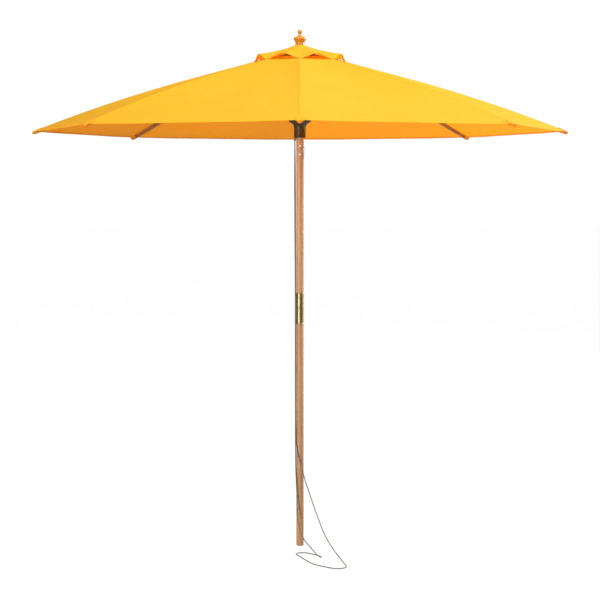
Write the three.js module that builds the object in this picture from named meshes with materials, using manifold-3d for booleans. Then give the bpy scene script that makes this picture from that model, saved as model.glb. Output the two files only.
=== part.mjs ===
// Wooden market parasol with an octagonal canvas canopy, a vented top and a pulley rope.
// Millimetres, +Z up. The origin is the centre of the pole's foot, on the ground.
// Eight ribs hinge on a wire ring in the crown hub, one strut holds up each rib, and the struts
// hinge on a second wire ring in the runner, which slides on the pole. Each rib carries two half
// panels of canvas, one on each side. Rib 1 points along -Y, and the others follow anticlockwise.
// In a rib's own frame, x runs outward from the pole, y to the left, and z up.
import * as THREE from 'three'
import { mergeVertices } from 'three/addons/utils/BufferGeometryUtils.js'
import Module from 'manifold-3d'

const wasm = await Module()
wasm.setup()

// ---- driving dimensions ------------------------------------------------------------------

const RIBS = 8
const SECTOR = 2 * Math.PI / RIBS
const GAP = 0.3                       // between pieces that touch

const POLE_R = 19
const SPIGOT_R = 17.4                 // the pole's ends inside the ferrule
const FERRULE = { bottom: 1151, top: 1310, outer: 19.5, inner: 17.7 }
const SPLIT_Z = 1230                  // where the two halves of the pole meet
const PIN_HOLES = { heights: [2057.5, 2015.5], radius: 4 }

const PIVOT_R = 48                    // radius of both wire rings
const HUB_Z = 2516                    // height of the crown ring
const STRUT_LENGTH = 545              // between a strut's pivots, and from a rib's hinge to its strut
const STRUT_ANGLE = THREE.MathUtils.degToRad(17.28)   // a strut above level, with the canopy open
const RUNNER_Z = HUB_Z - 2 * STRUT_LENGTH * Math.sin(STRUT_ANGLE)
const WIRE_R = 1.5
const WIRE_HOLE_R = 2.9

const CANOPY_R = 1350                 // to a corner of the octagon
const VENT_R = 165                    // where the main canopy starts, along a rib
const CLOTH = 1.6                     // thickness of the canvas
const CLOTH_BEND_R = 590              // the ribs are straight inside this radius and bow outside it
const CLOTH_BEND_Z = 2385.5
const CLOTH_SLOPE = { inner: 0.266, outer: 0.275, bow: 7.6e-5 }
const LAP_HEM = 52                    // how far the long half panel reaches past the panel's middle
const LAP_VENT = 24
const LAP_RISE = 3                    // of its free edge, so that it passes over the short half

const RIB = { width: 15, height: 22, endHeight: 16, end: 1322 }
const STRUT = { width: 14, height: 16 }
const STRUT_HOLE_R = 3.3

const CAP = { corner: 230, apexR: 24, apexZ: 2563, arch: 31 }
const ROPE_R = 2.75

// ---- helpers -----------------------------------------------------------------------------

const parasol = new THREE.Group()
const COLOURS = {
  wood: [0xc8925e, 0.6, 0], darkWood: [0xb5773f, 0.5, 0], canvas: [0xfdc435, 0.85, 0],
  brass: [0xb08d4a, 0.35, 1], darkPlastic: [0x55462e, 0.45, 0], steel: [0xb9bcc0, 0.3, 1],
  rope: [0x8f918c, 0.9, 0],
}

function mesh (name, geometry, look, parent = parasol) {
  const [color, roughness, metalness] = COLOURS[look]
  const piece = new THREE.Mesh(geometry, new THREE.MeshStandardMaterial({ color, roughness, metalness }))
  piece.name = name
  parent.add(piece)
  return piece
}

// Only the positions of a geometry, with shared corners merged.
function bare (geometry) {
  const g = geometry.clone()
  for (const name of Object.keys(g.attributes)) if (name !== 'position') g.deleteAttribute(name)
  return mergeVertices(g, 1e-4)
}

function toManifold (geometry) {
  const g = bare(geometry)
  const vertProperties = new Float32Array(g.attributes.position.array)
  const triVerts = new Uint32Array(g.index.array)
  return new wasm.Manifold(new wasm.Mesh({ numProp: 3, vertProperties, triVerts }))
}

function fromManifold (solid) {
  const { vertProperties, triVerts } = solid.getMesh()
  const g = new THREE.BufferGeometry()
  g.setAttribute('position', new THREE.BufferAttribute(vertProperties, 3))
  g.setIndex(new THREE.BufferAttribute(triVerts, 1))
  g.computeVertexNormals()
  return g
}

const cut = (body, ...tools) => fromManifold(
  tools.reduce((left, tool) => left.subtract(toManifold(tool)), toManifold(body)))
const join = (...pieces) => fromManifold(
  pieces.map(toManifold).reduce((all, piece) => all.add(piece)))

// A closed profile of [radius, height] pairs, listed anticlockwise, turned about the pole's axis.
function turned (profile, segments = 20) {
  const points = profile.map(([r, z]) => new THREE.Vector2(r, z))
  return new THREE.LatheGeometry(points, segments).rotateX(Math.PI / 2)
}

// An outline in x and z, as wide as width across y, and centred on y = 0.
function slab (outline, width) {
  const g = new THREE.ExtrudeGeometry(outline, { depth: width, curveSegments: 4, bevelEnabled: false })
  return g.translate(0, 0, -width / 2).rotateX(Math.PI / 2)
}

function box (low, high) {
  const size = high.map((v, i) => v - low[i])
  return new THREE.BoxGeometry(...size).translate(...low.map((v, i) => v + size[i] / 2))
}

// A round bar along 'x', 'y' or 'z', centred on a point.
function bar (axis, radius, length, [x, y, z], sides = 12) {
  const g = new THREE.CylinderGeometry(radius, radius, length, sides)
  if (axis === 'x') g.rotateZ(Math.PI / 2)
  if (axis === 'z') g.rotateX(Math.PI / 2)
  return g.translate(x, y, z)
}

function tube (curve, radius, sides, steps) {
  const section = new THREE.Shape(Array.from({ length: sides }, (_, i) => {
    const a = 2 * Math.PI * i / sides
    return new THREE.Vector2(radius * Math.cos(a), radius * Math.sin(a))
  }))
  return new THREE.ExtrudeGeometry(section, { steps, extrudePath: curve, bevelEnabled: false })
}

const wireRing = (z, r = WIRE_R) => new THREE.TorusGeometry(PIVOT_R, r, 6, 32).translate(0, 0, z)

// The frame of rib number i + 1, turned about the pole.
function sector (i) {
  const group = new THREE.Group()
  group.rotation.z = -Math.PI / 2 + SECTOR * i
  parasol.add(group)
  return group
}

// Height of the canvas over a rib, at a distance from the pole.
function clothZ (r) {
  const past = r - CLOTH_BEND_R
  if (past < 0) return CLOTH_BEND_Z - CLOTH_SLOPE.inner * past
  return CLOTH_BEND_Z - CLOTH_SLOPE.outer * past - CLOTH_SLOPE.bow * past * past
}

// ---- pole --------------------------------------------------------------------------------

function poleLower () {
  const shoulder = FERRULE.bottom
  return turned([[0, 0], [POLE_R - 3, 0], [POLE_R, 3], [POLE_R, shoulder], [SPIGOT_R, shoulder],
    [SPIGOT_R, SPLIT_Z - GAP], [0, SPLIT_Z - GAP]])
}

function poleUpper () {
  const shoulder = FERRULE.top + 2 * GAP
  const [tenonR, tenonZ, tenonTop] = [15, 2500, 2529]
  const [boreR, boreZ] = [4.3, 2495]
  const body = turned([[0, SPLIT_Z], [SPIGOT_R, SPLIT_Z], [SPIGOT_R, shoulder], [POLE_R, shoulder],
    [POLE_R, tenonZ], [tenonR, tenonZ], [tenonR, tenonTop], [boreR, tenonTop], [boreR, boreZ], [0, boreZ]])
  return cut(body, ...PIN_HOLES.heights.map(z => bar('y', PIN_HOLES.radius, 60, [0, 0, z], 16)))
}

function poleFerrule () {
  const { bottom, top, outer, inner } = FERRULE
  const [low, high, bead] = [bottom + GAP, top + GAP, 5]
  return turned([[inner, low], [outer, low], [outer + 0.6, low + 1], [outer + 0.6, low + bead - 1],
    [outer, low + bead], [outer, high - bead], [outer + 0.6, high - bead + 1],
    [outer + 0.6, high - 1], [outer, high], [inner, high], [inner, low]])
}

mesh('pole_lower', poleLower(), 'wood')
mesh('pole_upper', poleUpper(), 'wood')
mesh('pole_ferrule', poleFerrule(), 'brass')

// ---- crown -------------------------------------------------------------------------------

const HUB = { bottom: 2486, top: 2529, outer: 60, slotR: 34, slotWidth: 15.8 }

// A slot for one rib or strut, from slotR outward, turned to sector number i.
function slot (i, { slotR, slotWidth }, low, high) {
  return box([slotR, -slotWidth / 2, low], [80, slotWidth / 2, high]).rotateZ(-Math.PI / 2 + SECTOR * i)
}

function crownHub () {
  const { bottom, top, outer } = HUB
  const seat = 2500 + GAP
  const body = turned([[POLE_R + GAP, bottom], [outer - 10, bottom], [outer, bottom + 10], [outer, top - 6],
    [outer - 8, top], [15 + GAP, top], [15 + GAP, seat], [POLE_R + GAP, seat], [POLE_R + GAP, bottom]], 32)
  const slots = Array.from({ length: RIBS }, (_, i) => slot(i, HUB, bottom - 5, top + 5))
  return cut(body, ...slots, wireRing(HUB_Z, WIRE_R + GAP))
}

function crownSpacer () {
  const [low, high, bore] = [HUB.top + GAP, CAP.apexZ - CLOTH - 2 * GAP, 4.3]
  return turned([[bore, low], [31, low], [31, low + 5], [23, high], [bore, high], [bore, low]])
}

function finial () {
  const base = CAP.apexZ + GAP
  const ballR = 11.5
  const ballZ = 2630.5
  const ball = Array.from({ length: 8 }, (_, i) => {
    const a = THREE.MathUtils.lerp(-0.86, Math.PI / 2, i / 7)
    return [Math.max(0, ballR * Math.cos(a)), ballZ + ballR * Math.sin(a)]
  })
  ball[ball.length - 1][0] = 0
  return turned([[0, 2590], [4.3, 2590], [4.3, base], [24, base], [22.3, 2572], [24, 2580], [29.5, 2589],
    [32, 2595], [31, 2600], [25, 2605], [14, 2608.5], [8.5, 2611], [7.5, 2614], ...ball])
}

mesh('crown_hub', crownHub(), 'darkPlastic')
mesh('crown_wire', wireRing(HUB_Z), 'steel')
mesh('crown_spacer', crownSpacer(), 'wood')
mesh('finial', finial(), 'darkWood')
mesh('finial_stud', bar('z', 4, 90, [0, 0, 2542], 10), 'steel')

// ---- vent cap ----------------------------------------------------------------------------

// A closed sheet: a grid of top points, copied down by the canvas's thickness.
// rows are lists of points; with round, the last point of each row meets the first.
function sheet (rows, thickness, round = false) {
  const across = rows[0].length
  const count = rows.length * across
  const positions = []
  for (const drop of [0, thickness]) for (const [x, y, z] of rows.flat()) positions.push(x, y, z - drop)
  const at = (i, j) => i * across + j % across
  const index = []
  const bothFaces = (a, b, c) => index.push(a, b, c, c + count, b + count, a + count)
  const columns = round ? across : across - 1
  for (let i = 0; i + 1 < rows.length; i++) {
    for (let j = 0; j < columns; j++) {
      const [a, b, c, d] = [at(i, j), at(i + 1, j), at(i + 1, j + 1), at(i, j + 1)]
      bothFaces(a, b, c)
      bothFaces(a, c, d)
    }
  }
  const side = (a, b) => index.push(a, a + count, b + count, a, b + count, b)
  const last = rows.length - 1
  for (let j = 0; j < columns; j++) {
    side(at(0, j + 1), at(0, j))
    side(at(last, j), at(last, j + 1))
  }
  for (let i = 0; i < last && !round; i++) {
    side(at(i, 0), at(i + 1, 0))
    side(at(i + 1, across - 1), at(i, across - 1))
  }
  const g = new THREE.BufferGeometry()
  g.setAttribute('position', new THREE.Float32BufferAttribute(positions, 3))
  g.setIndex(index)
  g.computeVertexNormals()
  return g
}

// The cap is sewn down at its corners, over the ribs, and arches up between them.
function ventCap () {
  const [perSector, rings, holeR] = [4, 4, 5]
  const cornerZ = clothZ(CAP.corner) + GAP + CLOTH
  const rows = []
  for (let k = 0; k <= rings; k++) {
    const row = []
    for (let j = 0; j < RIBS * perSector; j++) {
      const angle = -Math.PI / 2 + SECTOR * j / perSector
      const across = (j % perSector) / perSector              // 0 over a rib, 0.5 between two
      const edgeR = CAP.corner * Math.cos(SECTOR / 2) / Math.cos(SECTOR * (across - 0.5))
      const edgeZ = cornerZ + CAP.arch * Math.sin(Math.PI * across) ** 1.3
      const t = k === 0 ? 0 : (k - 1) / (rings - 1)
      const r = k === 0 ? holeR : THREE.MathUtils.lerp(CAP.apexR, edgeR, t)
      const z = k === 0 ? CAP.apexZ : THREE.MathUtils.lerp(CAP.apexZ, edgeZ, t)
      row.push([r * Math.cos(angle), r * Math.sin(angle), z])
    }
    rows.push(row)
  }
  return sheet(rows, CLOTH, true)
}

mesh('vent_cap', ventCap(), 'canvas')

// ---- pulley and rope ---------------------------------------------------------------------

const PULLEY = { x: -26, z: 2463, pitch: 10.5, rim: 13.2, groove: 7.2, width: 8.4 }

// A steel bracket on the pole's left, with the wheel's axle riveted in it.
function pulleyBracket () {
  const { x, z } = PULLEY
  const [near, far, wall, half, reach] = [-POLE_R - GAP, -33.2, 1.8, 9, 17.5]
  const plate = box([near - wall, -half, z - 22], [near, half, z + reach])
  const cheek = box([far, -half, z - 8], [far + wall, half, z + reach])
  const bridge = box([far, -half, z + reach - wall], [near, half, z + reach])
  const axle = bar('x', 2, near - far + 0.5, [(near + far) / 2 - 0.25, 0, z], 10)
  return join(plate, cheek, bridge, axle)
}

function pulleyWheel () {
  const { rim, groove, width, x, z } = PULLEY
  const half = width / 2
  const bore = 2.05
  const ropeHalf = ROPE_R + GAP
  return turned([[bore, -half], [rim, -half], [rim, -half + 0.7], [groove, -ropeHalf], [groove, ropeHalf],
    [rim, half - 0.7], [rim, half], [bore, half], [bore, -half]]).rotateY(Math.PI / 2).translate(x, 0, z)
}

// The rope is a long loop. From its knot at the runner it goes up over the pulley, down the left of
// the pole, across the front of the pole to the ground, round in a loose loop, and back up to the knot.
const KNOT_Z = 2091
const ROPE_Y = PULLEY.pitch
const overPulley = Array.from({ length: 7 }, (_, i) => {
  const a = Math.PI * (1 - i / 6)
  return [PULLEY.x, PULLEY.pitch * Math.cos(a), PULLEY.z + PULLEY.pitch * Math.sin(a)]
})
const ROPE_ROUTE = [
  [-26, -ROPE_Y, KNOT_Z + 1], [-26, -ROPE_Y, 2440], ...overPulley, [-26, ROPE_Y, 2440],
  [-26, ROPE_Y, 2100], [-25.4, 9.6, 1290], [-22.4, 3, 900], [-22.2, -5, 640], [-20.5, -10.5, 565],
  [-17.5, -14.8, 521], [-12.9, -18.8, 491], [-6.4, -23, 466], [7.7, -28, 418], [25, -35, 350],
  [51, -50, 274], [73, -76, 214], [96, -112, 157], [120, -160, 104], [145, -214, 66], [175, -285, 35],
  [208, -372, 11], [223, -424, 3], [225, -462, 3], [205, -485, 3], [172, -490, 3], [120, -455, 3],
  [68, -405, 3], [24, -312, 3], [-9, -232, 3], [-19, -200, 3], [-8, -178, 3], [29, -176, 3],
  [62, -200, 3], [86, -224, 3], [99, -244, 3], [107, -259, 3], [106, -271, 4.5], [97, -273, 8],
  [86, -258, 13], [64, -219, 28], [46, -190, 43], [28, -160, 57], [15, -130, 71], [3, -98, 91],
  [-5, -72, 117], [-10, -53, 146], [-13, -38, 193], [-15, -29, 243], [-16.5, -25, 282],
  [-19.5, -19.5, 346], [-22.3, -15, 424], [-24.5, -11.5, 900], [-26, -ROPE_Y, 1300],
  [-26, -ROPE_Y, 2080], [-26, -ROPE_Y, KNOT_Z],
]

function rope () {
  const route = new THREE.CatmullRomCurve3(ROPE_ROUTE.map(p => new THREE.Vector3(...p)), false, 'centripetal')
  route.getUtoTmapping = u => u         // one step from each point to the next, however far apart
  return tube(route, ROPE_R, 8, ROPE_ROUTE.length - 1)
}

mesh('pulley_bracket', pulleyBracket(), 'steel')
mesh('pulley_wheel', pulleyWheel(), 'brass')
mesh('rope', rope(), 'rope')

// ---- runner ------------------------------------------------------------------------------

const RUNNER = { bottom: RUNNER_Z - 93, top: RUNNER_Z + 12, bore: 20.6, slotR: 35, slotWidth: 14.8 }

function runner () {
  const { bottom, top, bore } = RUNNER
  const body = turned([[bore, bottom], [30, bottom], [31.5, bottom + 2], [31.5, bottom + 6],
    [29.5, bottom + 9], [29.5, RUNNER_Z - 42], [32, RUNNER_Z - 32], [38, RUNNER_Z - 24.5],
    [48, RUNNER_Z - 17.5], [56.5, RUNNER_Z - 12.5], [57, top - 3], [54, top], [bore, top], [bore, bottom]], 32)
  const slots = Array.from({ length: RIBS }, (_, i) => slot(i, RUNNER, RUNNER_Z - 10.5, top + 5))
  const ropeWay = box([-32, -15, bottom - 5], [-21.8, 15, top + 5])
  return cut(body, ...slots, ropeWay, wireRing(RUNNER_Z, WIRE_R + GAP))
}

function ropeKnot () {
  const profile = [[0, -8], [3.4, -7], [5.2, -3.5], [5.5, 0], [5.2, 3.5], [3.4, 7], [0, 8]]
  return turned(profile, 12).translate(-26.5, 0, KNOT_Z - 2)
}

// The steel pin that locks the runner, hanging from the runner's rim on a chain.
const PIN = { angle: THREE.MathUtils.degToRad(-48), r: 27, top: 2052, length: 62 }
const PIN_SLACK = 1                   // under the runner's rim, so that the chain swings clear of it

function lockPin () {
  const [x, y] = [PIN.r * Math.cos(PIN.angle), PIN.r * Math.sin(PIN.angle)]
  const shank = turned([[0, -PIN.length], [2, -PIN.length], [3.4, -PIN.length + 3], [3.4, -5],
    [5.5, -5], [5.5, 0], [0, 0]], 12)
  return shank.translate(x, y, PIN.top)
}

function pinChain () {
  const [x, y] = [PIN.r * Math.cos(PIN.angle), PIN.r * Math.sin(PIN.angle)]
  const [low, high] = [PIN.top + GAP, RUNNER.bottom - PIN_SLACK]
  return bar('z', 1.1, high - low, [x, y, (high + low) / 2], 8)
}

mesh('runner', runner(), 'darkPlastic')
mesh('runner_wire', wireRing(RUNNER_Z), 'steel')
mesh('rope_knot', ropeKnot(), 'rope')
mesh('lock_pin', lockPin(), 'steel')
mesh('pin_chain', pinChain(), 'steel')

// ---- ribs, struts and canopy -------------------------------------------------------------

const STRUT_PIVOT = { // on the rib, in the rib's frame
  x: PIVOT_R + STRUT_LENGTH * Math.cos(STRUT_ANGLE), z: HUB_Z - STRUT_LENGTH * Math.sin(STRUT_ANGLE),
}

// The canvas falls away from the ridge over a rib, so the rib's flat top lies a little lower.
const RIDGE_FALL = 1.7
const ribTop = r => clothZ(r) - CLOTH - GAP - RIDGE_FALL
const ribHeight = r => THREE.MathUtils.mapLinear(
  Math.max(r, CLOTH_BEND_R), CLOTH_BEND_R, RIB.end, RIB.height, RIB.endHeight)

// Seen from the side: a nose round the crown ring, then a bar that follows the canvas.
function rib () {
  const outline = new THREE.Shape()
  const pitch = Math.atan(CLOTH_SLOPE.inner)
  const half = RIB.height / 2
  const stations = [120, CLOTH_BEND_R, 850, 1100, RIB.end]
  outline.absarc(PIVOT_R, HUB_Z, half, Math.PI / 2 - pitch, 1.5 * Math.PI - pitch, false)
  for (const r of stations) outline.lineTo(r, ribTop(r) - ribHeight(r) / Math.cos(pitch))
  for (const r of stations.toReversed()) outline.lineTo(r, ribTop(r))
  outline.closePath()
  const hole = new THREE.Path()
  hole.absarc(PIVOT_R, HUB_Z, WIRE_HOLE_R, 0, 2 * Math.PI, true)
  outline.holes.push(hole)
  return slab(outline, RIB.width)
}

// Two cheeks screwed to the sides of the rib, with the strut's pivot pin riveted across them.
function ribBracket () {
  const { x, z } = STRUT_PIVOT
  const [inside, thick, bossR] = [RIB.width / 2 + GAP, 1.6, 7.5]
  const ribMiddle = ribTop(x) - RIB.height / 2
  const cheek = new THREE.Shape()
  cheek.absarc(x, z, bossR, Math.PI, 2 * Math.PI, false)
  cheek.lineTo(x + 20, ribMiddle - 8)
  cheek.lineTo(x + 20, ribMiddle + 3)
  cheek.lineTo(x - 20, ribMiddle + 9)
  cheek.lineTo(x - 20, ribMiddle - 4)
  cheek.closePath()
  const sides = [-1, 1].map(side => slab(cheek, thick).translate(0, side * (inside + thick / 2), 0))
  const pin = bar('y', 2.8, 2 * (inside + thick) + 3, [x, 0, z], 10)
  const heads = [-1, 1].flatMap(side => [
    bar('y', 5, 1.6, [x, side * (inside + thick + 0.6), z], 8),
    bar('y', 3, 1.4, [x - 13, side * (inside + thick + 0.5), ribMiddle + 2.5], 6),
    bar('y', 3, 1.4, [x + 13, side * (inside + thick + 0.5), ribMiddle - 3.5], 6)])
  return join(...sides, pin, ...heads)
}

// Seen from the side: a bar with round ends, rising from the runner to the rib's bracket.
function strut () {
  const half = STRUT.height / 2
  const outline = new THREE.Shape()
  outline.absarc(0, 0, half, Math.PI / 2, 1.5 * Math.PI, false)
  outline.absarc(STRUT_LENGTH, 0, half, -Math.PI / 2, Math.PI / 2, false)
  outline.closePath()
  for (const [at, r] of [[0, WIRE_HOLE_R], [STRUT_LENGTH, STRUT_HOLE_R]]) {
    const hole = new THREE.Path()
    hole.absarc(at, 0, r, 0, 2 * Math.PI, true)
    outline.holes.push(hole)
  }
  return slab(outline, STRUT.width).rotateY(-STRUT_ANGLE).translate(PIVOT_R, 0, RUNNER_Z)
}

// Half a panel, from the rib (side 1 is its left) to near the panel's middle. The middle is a straight
// line from vent to hem. The left half stops a lap short of it, and the right half of the next rib
// reaches as far past it, so that the two halves meet edge to edge.
function halfPanel (side) {
  const stations = [VENT_R, CLOTH_BEND_R, 850, 1100, CANOPY_R]
  const rows = stations.map(r => {
    const t = (r - VENT_R) / (CANOPY_R - VENT_R)
    const half = SECTOR / 2
    const onRib = new THREE.Vector3(r, 0, clothZ(r))
    const middleZ = THREE.MathUtils.lerp(clothZ(VENT_R), clothZ(CANOPY_R), t)
    const middleR = r * Math.cos(half)
    const middle = new THREE.Vector3(middleR * Math.cos(half), middleR * Math.sin(half), middleZ)
    const onNext = new THREE.Vector3(r * Math.cos(SECTOR), r * Math.sin(SECTOR), clothZ(r))
    const lap = THREE.MathUtils.lerp(LAP_VENT, LAP_HEM, t)
    const towards = (from, to, by) => from.clone().addScaledVector(to.clone().sub(from).normalize(), by)
    const start = towards(onRib, middle, GAP)
    const row = side > 0
      ? [start, start.clone().lerp(towards(middle, onRib, lap + GAP), 0.5), towards(middle, onRib, lap + GAP)]
      : [start, middle, towards(middle, onNext, lap).add(new THREE.Vector3(0, 0, LAP_RISE))]
    return row.map(p => [p.x, side * p.y, p.z])
  })
  return sheet(side > 0 ? rows : rows.toReversed(), CLOTH)
}

for (let i = 0; i < RIBS; i++) {
  const group = sector(i)
  const n = i + 1
  mesh(`rib_${n}`, rib(), 'wood', group)
  mesh(`rib_bracket_${n}`, ribBracket(), 'brass', group)
  mesh(`strut_${n}`, strut(), 'wood', group)
  mesh(`canopy_left_${n}`, halfPanel(1), 'canvas', group)
  mesh(`canopy_right_${n}`, halfPanel(-1), 'canvas', group)
}

export default parasol
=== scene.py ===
"""Looks of a wooden market parasol with an octagonal canvas canopy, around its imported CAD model.

Metres, +Z up. The origin is the centre of the pole's foot. In a rib's own frame, x runs outward
from the pole, y to the left, and z up; rib 1 points along -Y and the others follow anticlockwise.
"""
import math

import bmesh
import bpy
import numpy as np
from mathutils import Matrix, Vector, noise


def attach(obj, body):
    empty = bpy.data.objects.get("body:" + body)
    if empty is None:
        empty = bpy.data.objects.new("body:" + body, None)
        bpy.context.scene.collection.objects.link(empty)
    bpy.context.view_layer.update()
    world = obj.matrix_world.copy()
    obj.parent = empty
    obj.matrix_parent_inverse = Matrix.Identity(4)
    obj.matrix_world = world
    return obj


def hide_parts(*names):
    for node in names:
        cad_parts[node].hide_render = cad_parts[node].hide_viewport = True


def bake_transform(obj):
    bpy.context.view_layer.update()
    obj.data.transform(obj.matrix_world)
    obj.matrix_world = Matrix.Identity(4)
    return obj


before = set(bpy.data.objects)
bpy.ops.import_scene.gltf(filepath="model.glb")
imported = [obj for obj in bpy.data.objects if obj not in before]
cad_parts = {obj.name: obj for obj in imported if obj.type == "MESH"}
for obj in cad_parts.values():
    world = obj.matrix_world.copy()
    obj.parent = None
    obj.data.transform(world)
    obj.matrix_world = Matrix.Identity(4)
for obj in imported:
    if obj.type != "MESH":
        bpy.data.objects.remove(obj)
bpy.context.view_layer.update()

# ---- the CAD's driving dimensions, in metres 

RIBS = 8
SECTOR = 2 * math.pi / RIBS
POLE_R, SPIGOT_R = 0.019, 0.0174
FERRULE_LOW, FERRULE_HIGH = 1.1513, 1.3103
PIN_HOLES, PIN_HOLE_R = (2.0575, 2.0155), 0.004
PIVOT_R, HUB_Z = 0.048, 2.516
STRUT_LENGTH, STRUT_ANGLE = 0.545, math.radians(17.28)
RUNNER_Z = HUB_Z - 2 * STRUT_LENGTH * math.sin(STRUT_ANGLE)
STRUT_PIVOT = (PIVOT_R + STRUT_LENGTH * math.cos(STRUT_ANGLE),
               HUB_Z - STRUT_LENGTH * math.sin(STRUT_ANGLE))
CANOPY_R, VENT_R = 1.350, 0.165
BEND_R, BEND_Z = 0.590, 2.3855
RIB_END, RIB_WIDTH, RIB_HEIGHT, RIB_END_HEIGHT = 1.322, 0.015, 0.022, 0.016
RIB_DROP = 0.0036                     # from the cloth's top to the rib's flat top
STRUT_WIDTH, STRUT_HEIGHT = 0.014, 0.016
CAP_R, CAP_APEX_R, CAP_APEX_Z = 0.233, 0.024, 2.563
ROPE_R = 0.00275
PULLEY_X, PULLEY_Z, PULLEY_PITCH = -0.026, 2.463, 0.0105
KNOT_Z = 2.091
PIN_ANGLE, PIN_R, PIN_TOP = math.radians(-48), 0.027, 2.052
RUNNER_BOTTOM = RUNNER_Z - 0.093


def cloth_z(r):
    """Height of the canopy over a rib."""
    past = r - BEND_R
    return BEND_Z - 0.266 * past if past < 0 else BEND_Z - 0.275 * past - 0.076 * past * past


def smooth(x, low, high):
    """0 below low, 1 above high, and an even S between them."""
    t = min(1.0, max(0.0, (x - low) / (high - low)))
    return t * t * (3 - 2 * t)


def rib_angle(i):
    """The direction of rib i, anticlockwise from +X."""
    return -math.pi / 2 + SECTOR * (i - 1)

# ---- camera ------------------------------

CAMERA = {"place": (0, -7.674, 1.856), "down": math.radians(4.342), "lens": 90.27}
camera = bpy.data.objects.new("camera", bpy.data.cameras.new("camera"))
camera.data.sensor_width = 36
camera.data.lens = CAMERA["lens"]
camera.location = CAMERA["place"]
camera.rotation_euler = (math.pi / 2 - CAMERA["down"], 0, 0)
bpy.context.scene.collection.objects.link(camera)
bpy.context.scene.camera = camera
bpy.context.scene.view_settings.view_transform = "Standard"


# ---- materials ---------------------------

def srgb(*rgb):
    """A linear colour with alpha, from 0 to 255 sRGB values."""
    shares = [c / 255 for c in rgb]
    return (*[c / 12.92 if c <= 0.04045 else ((c + 0.055) / 1.055) ** 2.4 for c in shares], 1)


class Nodes:
    """A short way to write a material's nodes."""

    def __init__(self, name):
        self.material = bpy.data.materials.new(name)
        self.material.use_nodes = True
        self.tree = self.material.node_tree
        self.tree.nodes.clear()
        self.out = self.tree.nodes.new("ShaderNodeOutputMaterial")

    def add(self, kind, inputs=None, **settings):
        node = self.tree.nodes.new("ShaderNode" + kind)
        for key, value in settings.items():
            setattr(node, key, value)
        for key, value in (inputs or {}).items():
            if isinstance(value, bpy.types.NodeSocket):
                self.tree.links.new(value, node.inputs[key])
            else:
                node.inputs[key].default_value = value
        return node

    def place(self):
        """Position along and across the piece, which stays with the piece when it bends."""
        return self.add("Attribute", attribute_name="grain").outputs["Vector"]

    def stretched(self, scale):
        """The same place, scaled along the piece and across it."""
        return self.add("Mapping", {"Vector": self.place(), "Scale": scale}).outputs["Vector"]

    def noise(self, scale, detail=4, rough=0.55, vector=None, distortion=0.0):
        inputs = {"Vector": vector or self.place(), "Scale": scale, "Detail": detail,
                  "Roughness": rough, "Distortion": distortion}
        return self.add("TexNoise", inputs).outputs["Fac"]

    def ramp(self, factor, *stops):
        node = self.add("ValToRGB", {"Fac": factor})
        while len(node.color_ramp.elements) < len(stops):
            node.color_ramp.elements.new(0.5)
        for element, (at, colour) in zip(node.color_ramp.elements, stops):
            element.position = at
            element.color = colour
        return node.outputs["Color"]

    def span(self, value, low, high, to_low, to_high):
        """The value from low to high, spread from to_low to to_high."""
        inputs = {"Value": value, "From Min": low, "From Max": high, "To Min": to_low, "To Max": to_high}
        return self.add("MapRange", inputs).outputs["Result"]

    def math(self, operation, a, b=0.0):
        return self.add("Math", {0: a, 1: b}, operation=operation).outputs["Value"]

    def mix(self, factor, a, b, blend="MIX"):
        node = self.add("Mix", data_type="RGBA", blend_type=blend)
        for socket, value in ((0, factor), (6, a), (7, b)):
            if isinstance(value, bpy.types.NodeSocket):
                self.tree.links.new(value, node.inputs[socket])
            else:
                node.inputs[socket].default_value = value
        return node.outputs[2]

    def bump(self, height, strength, distance, under=None):
        inputs = {"Height": height, "Strength": strength, "Distance": distance}
        if under:
            inputs["Normal"] = under
        return self.add("Bump", inputs).outputs["Normal"]

    def shader(self, **inputs):
        node = self.add("BsdfPrincipled", {k.replace("_", " "): v for k, v in inputs.items()})
        return node.outputs["BSDF"]

    def done(self, shader):
        """The material, with that shader on its surface."""
        self.tree.links.new(shader, self.out.inputs["Surface"])
        return self.material


def wood(name, light, dark, pore, roughness, coat, streak=26):
    """Straight-grained wood: broad streaks, fine pores and small flecks along the piece."""
    n = Nodes(name)
    broad = n.noise(1, 3, 0.5, n.stretched((1.6, streak, streak)), 0.35)
    fine = n.noise(1, 5, 0.65, n.stretched((7, 260, 260)), 0.1)
    flecks = n.noise(1, 2, 0.5, n.stretched((45, 900, 900)))
    colour = n.ramp(broad, (0.28, dark), (0.62, light))
    colour = n.mix(n.span(fine, 0.40, 0.64, 0.0, 0.55), colour, pore)
    colour = n.mix(n.span(flecks, 0.60, 0.74, 0.0, 0.35), colour, pore)
    rough = n.span(fine, 0.3, 0.7, roughness - 0.06, roughness + 0.12)
    normal = n.bump(fine, 0.25, 0.0004, n.bump(flecks, 0.2, 0.0002))
    return n.done(n.shader(Base_Color=colour, Roughness=rough, Normal=normal,
                           Coat_Weight=coat, Coat_Roughness=0.28))


def metal(name, light, dark, roughness, dull=0.16):
    """Metal with fine brushed lines, rougher by dull in patches."""
    n = Nodes(name)
    patches = n.noise(38, 4, 0.6)
    lines = n.noise(1, 3, 0.6, n.stretched((240, 960, 60)))
    colour = n.ramp(patches, (0.34, dark), (0.66, light))
    rough = n.math("ADD", n.span(patches, 0.3, 0.7, roughness + dull, roughness - dull / 3),
                   n.span(lines, 0.3, 0.7, -0.05, 0.08))
    normal = n.bump(lines, 0.15, 0.0001)
    return n.done(n.shader(Base_Color=colour, Roughness=rough, Metallic=1.0, Normal=normal))


WEAVE_PITCH, STITCH_PITCH = 0.0011, 0.004
SEAM_ROW = 0.0055                      # from the rib's middle to the row of stitches beside it
HEM_ROWS = (0.0165, 0.0030)            # from the hem's edge to its two rows of stitches


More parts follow.
